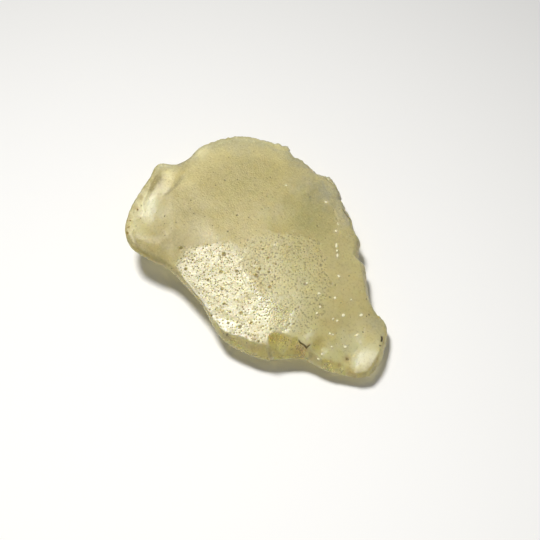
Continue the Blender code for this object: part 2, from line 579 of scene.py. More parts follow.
    def withShoulder(self, height, curve, x, y, depth, rough):
        towardsHead = 1 - ease(x, *shoulder["softBetween"])
        steep = between(shoulder["near"], shoulder["wall"], ease(x, *shoulder["wallBetween"]))
        steep = between(steep, shoulder["headNear"], towardsHead)
        steep = between(steep, shoulder["far"], ease(y, *shoulder["farBetween"]))
        steep = between(shoulder["head"], steep, ease(x, *shoulder["headBetween"]))
        climb = curve + shoulder["start"] * ease(depth, 0, shoulder["startBy"])
        climb = climb + steep * depth * (1 + shoulder["rough"] * rough)
        soft = between(shoulder["soft"], shoulder["headSoft"], towardsHead)
        return lower(height, climb, soft * ease(depth, 0, shoulder["softBy"]) + shoulder["least"])

    def withChips(self, height, curve, x, y, depth, rough):
        fresh = np.zeros(len(x))
        uneven = chipFloor["rough"] * rough * ease(depth, 0, chipFloor["roughBy"])
        uneven = uneven + np.abs(waves("broken", x, y)) * ease(depth, *chipFloor["brokenBetween"])
        for chip in self.chips:
            inside = insideLoop(chip["border"], x, y)
            gap = fromLine(chip["border"], x, y)[0]
            share = 1
            if "deepest" in chip:
                atX, atY = chip["deepest"]
                share = bell(np.hypot(x - atX, y - atY), chip["around"])
            ground = curve + chip["lip"] * ease(depth, 0, chipFloor["lipBy"]) + uneven
            gone = (1 - np.exp(-gap / chip["fall"])) * share
            height = np.where(inside, height - np.maximum(height - ground, 0) * gone, height)
            broken = ease(gap, 0, chipFloor["freshBy"]) * share
            fresh = np.where(inside, np.maximum(fresh, broken), fresh)
        return height, fresh

    def belly(self, x, y, depth):
        share = readGrid(self.bellyShare, self.xs, self.ys, x, y)
        height = self.rim(x, y) - self.edgeCurve(x, y, depth) - self.away(depth) * share
        rough = np.abs(waves("belly", x, y)) * ease(depth, 0, stone["bellyRoughBy"])
        return np.maximum(height + rough * ease(height, *stone["bellyRoughHeights"]), 0)


def seenAt(body, pixels):
    # places on the top under pixels of the photograph
    right, up, back = (np.array(axis) for axis in cameraAxes())
    eye = np.array(camera["target"]) + back * camera["distance"]
    focus = camera["lens"] / camera["sensor"] * camera["pixels"]
    middle = camera["pixels"] / 2
    u, v = np.array(pixels, float).T
    rays = np.outer((u - middle) / focus, right) + np.outer((middle - v) / focus, up) - back
    height = np.full(len(pixels), camera["target"][2])
    for _ in range(cast["rounds"]):
        places = eye + rays * ((height - eye[2]) / rays[:, 2])[:, None]
        x, y = places[:, 0], places[:, 1]
        height = body.top(x, y, body.depth(x, y))[0]
    return places


def marked(body, marks):
    # the place of each mark with what it states after its pixel
    return [(place, mark[2:]) for place, mark in zip(seenAt(body, [mark[:2] for mark in marks]), marks)]


# Two pitted zones of the top, as corners seen from above
brightZone = [(-9.3, -9.6), (-5.1, -4.4), (-1.9, -3.9), (-1.2, -6.0), (4.2, -7.2), (9.6, -6.0), (11.4, -8.4),
              (9.8, -12.6), (5.3, -15.8), (1.5, -15.2), (-3.6, -14.3), (-8.8, -14.2)]
beigeZone = [(-3.2, -4.0), (-3.4, -1.2), (-0.2, 2.3), (1.7, 4.2), (4.2, 5.4), (9.8, 1.8), (13.2, -3.0),
             (13.6, -6.5), (11.4, -9.3), (8.7, -9.6), (4.2, -8.3), (-1.2, -6.2)]
zoneBorder = (-0.3, 0.5)


def fromZones(x, y):
    return np.maximum(fromOutline(brightZone, x, y), fromOutline(beigeZone, x, y))


def zoneShare(corners, x, y):
    return ease(fromOutline(corners, x, y), *zoneBorder)


def hexGrid(body, spacing, clear):
    low, high = body.edge.min(0), body.edge.max(0)
    rows = np.arange(low[1], high[1], spacing * math.sqrt(3) / 2)
    places = []
    for number, y in enumerate(rows):
        x = np.arange(low[0] + (number % 2) * spacing / 2, high[0], spacing)
        places.append(np.stack([x, np.full(len(x), y)], 1))
    places = np.vstack(places)
    places = places[insideLoop(body.edge, *places.T)]
    return places[body.depth(*places.T) > clear]


def topGrid(body):
    # close points in the pitted zones, wider ones around them
    clear = stone["edgeInsets"][-1] + stone["coarse"] / 2
    wide = hexGrid(body, stone["coarse"], clear)
    close = hexGrid(body, stone["fine"], clear)
    return np.vstack([wide[fromZones(*wide.T) < -stone["join"]], close[fromZones(*close.T) > 0]])


def insetLoops(body, every):
    normals = outward(softened(body.edge, stone["insetSoftening"]))
    loops = [(body.edge - normals * inset)[::every] for inset in stone["edgeInsets"]]
    places = np.vstack(loops)
    return places[insideLoop(body.edge, *places.T)]


pits = {
    "bright": {"perSquare": 6.0, "radius": (0.05, 0.115)},
    "beige": {"perSquare": 6.5, "radius": (0.06, 0.12)},
    "plain": {"perSquare": 0.22, "radius": (0.06, 0.12)},
    "skew": 2.2,  # how much commoner the small ones are
    "brown": (0.35, 1.0),
    "depth": 0.8,  # of the radius
    "deepest": 0.17,  # a radius over this adds no depth
    "bowl": 2.5,
    "dirtAndShade": (0.95, 0.5),  # held by small ones and by large ones
    "dirtBetween": (0.13, 0.25),
    "dirtBowl": 4.0,
    "rings": (0.52, 0.96, 1.28),
    "bigRings": (0.3, 0.6, 0.84, 0.97, 1.18),
    "bigFrom": 0.2,
    "ringSpacing": 0.085,
    "leastCorners": 6,
    "stretch": 0.25,
    "apart": 1.3,  # of two radii
    "gap": 0.03,
    "clear": 0.45,  # from the edge
    "freshBelow": 0.05,  # none are scattered in the chips
    # larger ones: pixel, radius in mm, how brown it is
    "seen": [
        (208, 280, 0.20, 0.9), (222, 289, 0.22, 0.9), (224, 304, 0.21, 0.9), (237, 271, 0.24, 0.7),
        (224, 254, 0.34, 0.9), (221, 272, 0.30, 0.5), (263, 249, 0.20, 0.9), (260, 269, 0.24, 0.9),
        (256.6, 275.5, 0.36, 1.0), (268, 258, 0.24, 0.8), (269, 272, 0.20, 0.9), (270, 287, 0.26, 0.8),
        (261, 283, 0.19, 0.8), (251, 323, 0.22, 0.9), (240, 327, 0.28, 0.7), (241, 313, 0.27, 0.8),
        (230, 312, 0.17, 0.9), (228, 323, 0.17, 0.8), (271, 329, 0.18, 0.8), (258.5, 341.5, 0.20, 0.9),
        (227, 334, 0.17, 1.0), (211.6, 315.5, 0.15, 1.0), (164.5, 216, 0.14, 1.0), (191, 200, 0.13, 0.8),
        (194, 213, 0.12, 0.8), (181, 248, 0.26, 0.5), (185.5, 269, 0.22, 1.0), (192.5, 260, 0.16, 0.9),
        (181, 258.6, 0.14, 0.9), (225, 180, 0.17, 1.0), (216, 185, 0.12, 0.8), (229, 157, 0.16, 0.6),
        (237, 215, 0.17, 1.0), (249, 217, 0.12, 0.8), (228, 231.5, 0.16, 0.9), (254, 151, 0.12, 0.8),
        (270.5, 177, 0.16, 0.7), (267, 196, 0.17, 0.6), (317.4, 225.7, 0.16, 0.7), (310, 197, 0.15, 0.6),
        (329.7, 297, 0.17, 1.0), (366.5, 299, 0.17, 0.7), (369, 314.5, 0.16, 1.0),
        (366.5, 316.4, 0.12, 0.8), (294, 323.7, 0.18, 1.0), (363, 332, 0.16, 0.9),
        (319.4, 304.5, 0.12, 0.8), (341, 302.6, 0.12, 0.8), (304.5, 284, 0.20, 0.9),
        (312, 289.5, 0.15, 0.9), (306.5, 275.5, 0.17, 0.6), (349, 275.7, 0.15, 0.8),
        (331, 283, 0.30, 0.5), (335.5, 285, 0.2, 0.7), (276, 264, 0.17, 0.8), (272.5, 281.5, 0.15, 0.9),
        (347.3, 359.3, 0.26, 1.4), (137.6, 209.5, 0.16, 1.1), (130.4, 220.5, 0.14, 1.1),
        (128.4, 227, 0.17, 1.2), (127.8, 233, 0.15, 1.1), (140.5, 218, 0.10, 1.0), (136, 226, 0.10, 1.0),
        (133.6, 230, 0.09, 1.0),
    ],
}

# Narrow lines sunk in the top: pixels along each, half width and depth in mm, how dark it is (dirt and dark
# marks, but painted shade in the head furrow)
lines = {
    "crack": ([(298.2, 339.8), (300.5, 342.6), (303.5, 344.2), (306.8, 347.0), (310.4, 344.4)],
              0.11, 0.16, 1.15),
    "ledge": ([(341.8, 208), (345.5, 213.5), (349, 218), (352.6, 223)], 0.07, 0.10, 1.0),
    "longArc": ([(237, 246), (242.5, 250.5), (246.5, 254.5), (244.5, 260), (243.5, 266), (241.5, 273),
                 (243, 280), (247, 287)], 0.08, 0.015, 0.18),
    "shortArc": ([(287, 248.5), (293, 250.5), (297, 254), (299, 257.5)], 0.08, 0.02, 0.3),
    "toeMark": ([(381.6, 335.6), (382.0, 339.0), (381.2, 342.2)], 0.17, 0.10, 1.5),
    "toeDot": ([(380.4, 344.4), (380.0, 346.6)], 0.20, 0.10, 1.5),
    # its darkness is painted shade along the groove
    "headFurrow": ([(184, 174.5), (180, 180.5), (174, 187.5), (168, 192.5), (163, 195.5)],
                   0.34, 0.05, 0.25),
}
lineMesh = {
    "across": (-1.4, -0.95, -0.5, 0, 0.5, 0.95, 1.4),  # rows of points, in half widths
    "step": 0.8,
    "leastStep": 0.06,
    "leastPoints": 3,
    "clear": 1.7,
    "fromPits": (1.6, 1.4),  # in half widths, and in radii of the pit
    "ends": (-0.05, 0.25),
    "trough": 2.0,
    "darkTrough": 3.0,
}


class Marks:
    # the pits and lines of the top, and the mesh points that they need
    def __init__(self, body):
        self.body = body
        self.random = np.random.default_rng(stone["seed"])
        self.lines = []
        for pixels, half, depth, dark in lines.values():
            self.lines.append((seenAt(body, pixels)[:, :2], half, depth, dark))
        self.pits = []
        for (x, y, _), (radius, brown) in marked(body, pits["seen"]):
            self.addPit(x, y, radius, brown)
        self.scatter("bright", lambda x, y: fromOutline(brightZone, x, y) > 0)
        self.scatter("beige", lambda x, y: fromOutline(beigeZone, x, y) > 0)
        self.scatter("plain", lambda x, y: fromZones(x, y) < 0)
        print("pits", len(self.pits), "lines", len(self.lines))

    def addPit(self, x, y, radius, brown):
        turn = self.random.uniform(0, math.pi)
        stretch = self.random.uniform(0, pits["stretch"])
        self.pits.append((x, y, radius, brown, turn, stretch))

    def scatter(self, kind, wanted):
        edge = self.body.edge
        low, high = edge.min(0), edge.max(0)
        count = int(np.prod(high - low) * pits[kind]["perSquare"])
        places = self.random.uniform(low, high, (count, 2))
        size = self.random.uniform(0, 1, count) ** pits["skew"]
        radii = between(*pits[kind]["radius"], size)
        browns = self.random.uniform(*pits["brown"], count)
        keep = insideLoop(edge, *places.T) & wanted(*places.T)
        places, radii, browns = places[keep], radii[keep], browns[keep]
        x, y = places.T
        depth = self.body.depth(x, y)
        fresh = self.body.top(x, y, depth)[1]
        for at in np.argsort(-radii):
            if depth[at] < pits["clear"] + radii[at] or fresh[at] > pits["freshBelow"]:
                continue
            taken = np.array([mark[:3] for mark in self.pits])
            gaps = np.hypot(taken[:, 0] - x[at], taken[:, 1] - y[at])
            gaps = gaps - pits["apart"] * (taken[:, 2] + radii[at])
            if gaps.min() > pits["gap"] and self.clearOfLines(x[at], y[at], radii[at]):
                self.addPit(x[at], y[at], radii[at], browns[at])

    def clearOfLines(self, x, y, radius):
        spot = np.array([x]), np.array([y])
        halves, radii = lineMesh["fromPits"]
        for points, half, _, _ in self.lines:
            if fromLine(points, *spot)[0][0] <= halves * half + radii * radius:
                return False
        return True

    def meshPoints(self, places):
        # the places without those that a pit or line needs clear, and with its own
        tree = searchTree(*places.T)
        keep = np.ones(len(places), bool)
        added = []

        def clear(x, y, reach):
            for _, number, _ in tree.find_range((x, y, 0), reach):
                keep[number] = False

        for x, y, radius, _, turn, stretch in self.pits:
            clear(x, y, radius * (pits["apart"] + stretch) + pits["gap"])
            added.append((x, y))
            for share in pits["bigRings"] if radius >= pits["bigFrom"] else pits["rings"]:
                corners = round(2 * math.pi * share * radius / pits["ringSpacing"])
                count = max(pits["leastCorners"], corners)
                for angle in np.arange(count) * 2 * math.pi / count + share:
                    along = share * radius * (1 + stretch) * math.cos(angle)
                    across = share * radius * (1 - stretch) * math.sin(angle)
                    added.append((x + along * math.cos(turn) - across * math.sin(turn),
                                  y + along * math.sin(turn) + across * math.cos(turn)))
        for points, half, _, _ in self.lines:
            run = np.concatenate([[0], np.cumsum(np.hypot(*np.diff(points, axis=0).T))])
            step = max(lineMesh["step"] * half, lineMesh["leastStep"])
            steps = np.linspace(0, run[-1], max(lineMesh["leastPoints"], round(run[-1] / step)))
            middle = np.stack([np.interp(steps, run, points[:, k]) for k in (0, 1)], 1)
            way = np.gradient(middle, axis=0)
            across = np.stack([-way[:, 1], way[:, 0]], 1) / np.hypot(*way.T)[:, None]
            for x, y in middle:
                clear(x, y, lineMesh["clear"] * half)
            for share in lineMesh["across"]:
                added += (middle + across * share * half).tolist()
        return np.vstack([places[keep], np.array(added)])

    def carve(self, x, y):
        # how deep the pits and lines go at each place, and how dark they are: dirt in the pits and marks,
        # painted shade in the head furrow
        tree = searchTree(x, y)
        sunk = np.zeros(len(x))
        dirtAndShade = np.zeros(len(x))
        for atX, atY, radius, brown, turn, stretch in self.pits:
            near = [number for _, number, _ in tree.find_range((atX, atY, 0), radius * (1 + stretch))]
            dx, dy = x[near] - atX, y[near] - atY
            along = (dx * math.cos(turn) + dy * math.sin(turn)) / (radius * (1 + stretch))
            across = (dy * math.cos(turn) - dx * math.sin(turn)) / (radius * (1 - stretch))
            far = np.clip(np.hypot(along, across), 0, 1)
            deep = pits["depth"] * min(radius, pits["deepest"]) * (1 - far ** pits["bowl"])
            sunk[near] = np.maximum(sunk[near], deep)
            held = between(*pits["dirtAndShade"], ease(radius, *pits["dirtBetween"]))
            dirtAndShade[near] = np.maximum(dirtAndShade[near], brown * held * (1 - far ** pits["dirtBowl"]))
        for points, half, depth, dark in self.lines:
            gap, along = fromLine(points, x, y)
            length = np.hypot(*np.diff(points, axis=0).T).sum()
            ends = ease(along, *lineMesh["ends"]) * ease(length - along, *lineMesh["ends"])
            share = np.clip(gap / half, 0, 1)
            sunk = np.maximum(sunk, depth * (1 - share ** lineMesh["trough"]) * ends)
            dirtAndShade = np.maximum(dirtAndShade, dark * (1 - share ** lineMesh["darkTrough"]) * ends)
        return sunk, dirtAndShade


def sheet(edge, inner):
    # triangles between the edge and the points inside it
    count = len(edge)
    points = np.vstack([edge, inner])
    around = [(number, (number + 1) % count) for number in range(count)]
    insideOnly, tolerance = 1, 1e-6
    made = delaunay_2d_cdt([Vector(point) for point in points], around, [], insideOnly, tolerance)
    source = [found[0] for found in made[3]]
    return points, [tuple(source[corner] for corner in face) for face in made[2]]


# Soft patches of colour: pixel, radius in mm, strength. Some are painted highlight and painted shade, as
# noted with each kind; the green and brown are tints of the glass
tintsAndPaintedLight = {
    # pale: painted highlights on the head's streak, the pitted zone, the rib between the chips and the toe,
    # and a few pale patches near the far edge
    "pale": [
        (335, 285, 4.5, 0.35), (325, 265, 3.0, 0.35), (312, 312, 2.0, 0.4), (290, 300, 3.0, 0.8),
        (285, 325, 1.8, 0.8), (152, 200, 1.8, 1.5), (147, 209, 1.7, 1.5), (159, 190, 1.4, 1.2),
        (170, 174, 1.5, 0.6), (137, 224, 1.8, 0.8), (201, 154, 1.2, 1.4), (308, 338, 1.3, 1.3),
        (304, 325, 2.2, 1.0), (350, 345, 2.0, 1.5), (366, 358, 2.2, 1.3), (158, 210, 1.7, 0.6),
        (148, 222, 1.8, 0.7), (334, 352, 1.8, 0.8), (300, 268, 3.0, 0.5), (318, 330, 1.2, 0.5),
        (134, 226, 1.0, 1.0), (142, 231, 1.0, 0.7), (150, 225, 1.2, 0.6), (204, 151, 0.7, 1.2),
        (304, 280, 2.3, 1.0), (301, 304, 2.5, 1.1), (272, 214, 1.9, 0.8), (288, 213, 1.3, 0.4),
        (263, 312, 2.0, 0.5), (226, 326, 1.9, 0.6), (240, 332, 1.4, 0.7), (341, 369, 0.7, 1.0),
        (353, 376, 0.8, 1.0), (346, 340, 1.6, 1.4), (329, 366, 0.9, 0.9), (334, 350, 1.4, 0.9),
        (318, 296, 2.2, 0.7), (275, 300, 2.0, 0.6), (158, 214, 1.6, 1.2), (345, 288, 3.8, 0.5),
        (356, 325, 2.4, 0.7), (372, 345, 1.5, 0.8), (345, 255, 2.4, 0.4), (330, 262, 3.0, 0.4),
        (330, 310, 2.6, 0.6), (343, 316, 1.3, 0.4), (205, 236, 1.8, 0.35), (168, 262, 1.6, 0.3),
        (285, 245, 2.4, 0.4), (300, 252, 2.6, 0.4), (275, 265, 3.0, 0.3),
    ],
    # warm: lighter, yellower patches on the right side and the toe, partly a painted highlight
    "warm": [
        (292, 290, 4.5, 1.0), (300, 312, 3.5, 1.0), (318, 300, 2.5, 0.7), (338, 352, 3.6, 1.1),
        (325, 335, 2.2, 0.6), (345, 368, 2.2, 1.0), (374, 352, 2.2, 0.6), (264, 322, 3.0, 0.7),
        (248, 340, 2.0, 0.6), (285, 355, 3.0, 0.5), (322, 366, 2.0, 0.8), (362, 256, 2.0, 0.5),
    ],
    "green": [
        (305, 215, 4.2, 1.0), (285, 222, 2.6, 0.25), (322, 232, 2.4, 0.6), (340, 262, 2.0, 0.4),
        (250, 183, 3.5, 0.3), (330, 283, 1.6, 0.4),
    ],
    # grey: painted shade, the floor's shadow seen through the thin far edge
    "grey": [
        (326, 190, 2.8, 1.0), (338, 200, 2.0, 0.8), (240, 143, 3.2, 0.7), (262, 148, 2.4, 0.4),
        (309, 181, 2.2, 0.6), (377, 323, 1.6, 0.9), (383, 334, 1.2, 0.6), (352, 232, 1.8, 0.3),
    ],
    # olive: partly painted shade, on the shaded side of the head furrow, along the lower head rim and over
    # the head's khaki, and partly darker olive patches of the glass
    "olive": [
        (155, 181, 1.2, 1.5), (151, 187, 1.0, 1.3), (153, 172, 0.8, 1.3), (145, 186, 0.8, 1.3),
        (139, 197, 0.8, 1.3), (133, 207, 0.8, 1.2), (128, 217, 0.7, 1.2), (125, 229, 0.7, 1.2),
        (128, 240, 0.6, 0.9), (136, 246, 0.8, 0.7), (146, 251, 1.6, 0.25), (158, 256, 1.6, 0.25),
        (186, 172, 1.8, 0.35), (181, 181, 1.2, 0.4), (198, 296.5, 0.95, 0.5), (190, 248, 3.0, 0.22),
        (177, 192, 2.2, 0.25), (204, 166, 2.6, 0.25), (160, 172, 0.8, 0.5), (372, 369, 1.0, 0.7),
        (364, 374, 0.8, 0.6), (167, 236, 2.8, 0.4), (188, 215, 3.2, 0.3), (180, 240, 2.6, 0.3),
        (171, 190, 0.7, 0.5), (178, 183, 0.7, 0.6), (237, 271, 0.7, 0.6), (224, 254, 0.6, 0.5),
    ],
    "brown": [
        (331, 361.5, 0.3, 0.5), (339, 365, 0.35, 0.6), (350, 371, 0.35, 0.6), (299, 347.5, 0.8, 0.45),
        (126.6, 227, 0.45, 0.8), (129, 220, 0.3, 0.8), (126, 234, 0.4, 0.8), (137, 209, 0.35, 0.9),
        (254, 337.5, 0.55, 0.7), (347, 359, 0.45, 0.9), (355, 375, 0.7, 0.7), (349, 370, 0.5, 0.5),
        (196, 289, 0.5, 0.3),
    ],
}
patchWander = 0.45

# A pale band along the edge is a painted highlight, with a darker line just inside it, and a grey band along
# the far side and the head is painted shade. Its far side begins along a slanted line, and a pair of numbers
# is where a band comes in or ends along x.
edgeLine = {
    "farSlant": 0.2,
    "farBetween": (-6.0, 0.0),
    "freshLess": 0.7,  # how much less yellow the far chips are
    "pale": 0.9,
    "paleBetween": (-20.5, -17.5),
    "farPale": 0.5,  # share of it at the right of the far side
    "farPaleBetween": (4.0, 8.0),
    "dark": 0.6,
    "inset": 0.40,
    "width": 0.14,
    "patches": 0.6,
    "grey": 1.0,
    "greyWidth": 1.7,
    "greyHead": (-21.0, -18.0),
    "leftOf": (3.0, 8.0),
    "wear": 1.8,  # olive, round the head
    "wearWidth": 0.3,
    "wearHead": (-18.0, -15.0),
    "wearPatches": (0.35, 1.2),
    "rim": 0.7,
    "rimWidth": 0.11,
}
# Painted shade: the glass is greyed where it is thinner than the reach, for the floor's shadow seen through
# it, but not on the toe
thin = {"reach": 1.5, "toe": (12.0, 16.0)}


def colourEdge(layers, x, y, depth, wander):
    far = ease(y + edgeLine["farSlant"] * x, *edgeLine["farBetween"])
    left = 1 - ease(x, *edgeLine["leftOf"])
    wearHead = 1 - ease(x, *edgeLine["wearHead"])
    pale = (1 - far) * ease(x, *edgeLine["paleBetween"])
    pale = pale + edgeLine["farPale"] * far * ease(x, *edgeLine["farPaleBetween"])
    grey = np.maximum(far, 1 - ease(x, *edgeLine["greyHead"])) * left
    patches = edgeLine["patches"] + wander
    least, more = edgeLine["wearPatches"]
    wear = wearHead * (least + more * np.abs(wander))
    rim = np.maximum(far * left, wearHead) * patches
    # grey is painted shade, pale a painted highlight; the olive bands are darker lines at and just inside
    # the edge
    bands = (
        ("grey", edgeLine["grey"] * grey * (1 + wander), 0, edgeLine["greyWidth"]),
        ("pale", edgeLine["pale"] * pale, 0, edgeLine["width"]),
        ("olive", edgeLine["dark"] * patches, edgeLine["inset"], edgeLine["width"]),
        ("olive", edgeLine["wear"] * wear, 0, edgeLine["wearWidth"]),
        ("olive", edgeLine["rim"] * rim, 0, edgeLine["rimWidth"]),
    )
    for name, strength, inset, width in bands:
        layers[name] = np.maximum(layers[name], strength * bell(depth - inset, width))
    layers["fresh"] = layers["fresh"] * (1 - edgeLine["freshLess"] * far)


def colourLayers(body, x, y, depth, fresh, dirtAndShade, thick):
    # what the material reads at each point of the top
    layers = {
        "fresh": fresh,
        "dirtAndShade": dirtAndShade,
        "bright": zoneShare(brightZone, x, y),
        "beige": zoneShare(beigeZone, x, y),
        "thin": bell(thick, thin["reach"]) * (1 - ease(x, *thin["toe"])),
    }
    wander = waves("blotch", x, y)
    for name, spots in tintsAndPaintedLight.items():
        total = np.zeros(len(x))
        for (atX, atY, _), (radius, strength) in marked(body, spots):
            gap = np.hypot(x - atX, y - atY) / radius + patchWander * wander
            total = np.maximum(total, strength * bell(np.maximum(gap, 0), 1))
        layers[name] = total
    colourEdge(layers, x, y, depth, wander)
    for (atX, atY, _), (radius, _, _) in marked(body, specks["seen"]):
        halo = specks["halo"] * bell(np.hypot(x - atX, y - atY), specks["haloReach"] * radius)
        layers["pale"] = np.maximum(layers["pale"], halo)
    return layers


def buildStone(body, marks):
    rim = len(body.edge)
    inner = marks.meshPoints(np.vstack([insetLoops(body, 1), topGrid(body)]))
    points, topFaces = sheet(body.edge, inner[insideLoop(body.edge, *inner.T)])
    x, y = points.T
    depth = body.depth(x, y)
    depth[:rim] = 0
    topZ, fresh = body.top(x, y, depth)
    pitted = np.maximum(zoneShare(brightZone, x, y), zoneShare(beigeZone, x, y))
    grain = waves("grain", x, y) * (stone["grain"] + pitted - stone["grainFresh"] * fresh)
    sunk, dirtAndShade = marks.carve(x, y)
    topZ = topZ + grain * ease(depth, 0, stone["grainBy"]) - sunk
    topZ[:rim] = body.rim(x, y)[:rim]
    thick = topZ - body.belly(x, y, depth)

    clear = stone["edgeInsets"][-1] + stone["bellySpacing"] / 2
    under = np.vstack([insetLoops(body, 2), hexGrid(body, stone["bellySpacing"], clear)])
    underPoints, underFaces = sheet(body.edge, under)
    underX, underY = underPoints[rim:].T
    bellyZ = body.belly(underX, underY, body.depth(underX, underY))
    shift = len(points) - rim

    def below(corner):
        return corner if corner < rim else corner + shift

    verts = np.vstack([np.stack([x, y, topZ], 1), np.stack([underX, underY, bellyZ], 1)])
    allFaces = topFaces + [tuple(below(corner) for corner in reversed(face)) for face in underFaces]
    mesh = bpy.data.meshes.new("glass_flake")
    mesh.from_pydata((verts * mm).tolist(), [], allFaces)
    mesh.shade_smooth()
    for name, values in colourLayers(body, x, y, depth, fresh, dirtAndShade, thick).items():
        layer = mesh.attributes.new(name, "FLOAT", "POINT")
        padded = np.zeros(len(verts), np.float32)
        padded[:len(values)] = values
        layer.data.foreach_set("value", padded)
    print("glass flake", len(verts), "points", len(allFaces), "faces")
    return linked(mesh.name, mesh)


# White specks caught at the surface: pixel, radius in mm, how much longer than wide, its turn
specks = {
    "sink": 0.45,
    "flat": 0.4,
    "scale": 1.45,
    "halo": 1.2,
    "haloReach": 2.4,  # in radii
    "subdivisions": 3,
    "seen": [
        (217, 238, 0.10, 1, 0), (274.7, 244.7, 0.16, 1, 0), (282, 262, 0.10, 1, 0),
        (307, 283, 0.15, 1, 0), (318.7, 293.3, 0.16, 1.3, 40), (316.5, 313, 0.15, 1.2, 100),
        (286.6, 185.4, 0.15, 1, 0), (326, 202, 0.15, 1.2, 0), (308, 182, 0.10, 1, 0),
        (306.7, 191.4, 0.09, 1, 0), (338, 224, 0.12, 1.4, 20), (336, 231, 0.15, 1.1, 0),
        (336.3, 245.5, 0.16, 1.9, 130), (336.8, 250.5, 0.13, 1.4, 130), (337.3, 255.5, 0.16, 1.7, 130),
        (254.5, 266, 0.12, 1.3, 60), (334.7, 297.7, 0.18, 1.15, 20), (351, 299.6, 0.13, 1, 0),
        (343, 315, 0.24, 1.05, 0), (360.7, 315, 0.21, 1.3, 45), (337, 320.6, 0.15, 1, 0),
        (333, 318.7, 0.12, 1, 0), (329.7, 333.6, 0.13, 1, 0), (332.8, 334.4, 0.12, 1, 0),
        (331.6, 346.6, 0.13, 1, 0), (345, 346.6, 0.19, 1.2, 45), (321.7, 354.3, 0.13, 1.2, 110),
        (318.6, 358.5, 0.15, 1.1, 20), (357, 335, 0.17, 1.2, 45), (338.4, 276, 0.15, 1.6, 10),
        (320, 306.7, 0.15, 1.1, 0), (293.6, 231, 0.10, 1, 0),
    ],
}


def buildSpecks(body):
    # small white bodies, each a flattened ball let into the top
    bm = bmesh.new()
    for place, (radius, longer, turn) in marked(body, specks["seen"]):
        radius = specks["scale"] * radius
        spot = Vector(place) - Vector((0, 0, specks["sink"] * specks["flat"] * radius))
        size = Matrix.Diagonal((radius * longer, radius, radius * specks["flat"], 1))
        ball = Matrix.Translation(spot) @ Matrix.Rotation(math.radians(turn), 4, "Z") @ size
        ball = Matrix.Scale(mm, 4) @ ball
        bmesh.ops.create_icosphere(bm, subdivisions=specks["subdivisions"], radius=1, matrix=ball)
    mesh = bpy.data.meshes.new("white_specks")
    bm.to_mesh(mesh)
    bm.free()
    mesh.shade_smooth()
    print("white specks", len(specks["seen"]))
    return linked(mesh.name, mesh)


class Wire:
    # a node's output; sums, differences and products of wires add their own Math nodes
    def __init__(self, finish, socket):
        self.finish = finish
        self.socket = socket

    def maths(self, operation, first, second):
        return self.finish.add("Math", {"operation": operation}, {0: first, 1: second})

    def __add__(self, other):
        return self.maths("ADD", self, other)

    def __sub__(self, other):
        return self.maths("SUBTRACT", self, other)

    def __rsub__(self, other):
        return self.maths("SUBTRACT", other, self)

    def __mul__(self, other):
        return self.maths("MULTIPLY", self, other)

    __radd__ = __add__
    __rmul__ = __mul__

    def clamped(self):
        return self.finish.add("Clamp", {}, {"Value": self})


class Finish:
    # one material and its nodes
    def __init__(self, name):
        self.material = bpy.data.materials.new(name)
        self.material.use_nodes = True
        self.tree = self.material.node_tree
        self.tree.nodes.clear()

    def add(self, kind, settings=None, sockets=None, out=0):
        node = self.tree.nodes.new("ShaderNode" + kind)
        for name, value in (settings or {}).items():
            setattr(node, name, value)
        for name, value in (sockets or {}).items():
            if isinstance(value, Wire):
                self.tree.links.new(value.socket, node.inputs[name])
            else:
                node.inputs[name].default_value = value
        if len(node.outputs):
            return Wire(self, node.outputs[out])

    def mix(self, factor, first, second):
        return self.add("Mix", {"data_type": "RGBA"}, {0: factor, 6: first, 7: second}, out=2)

    def clouds(self, scale, detail):
        # noise over object coordinates in millimetres
        spot = self.add("TexCoord", out=3)
        place = self.add("VectorMath", {"operation": "SCALE"}, {0: spot, "Scale": 1 / mm})
        return self.add("TexNoise", {"noise_dimensions": "3D"},
                        {"Vector": place, "Scale": scale, "Detail": detail})


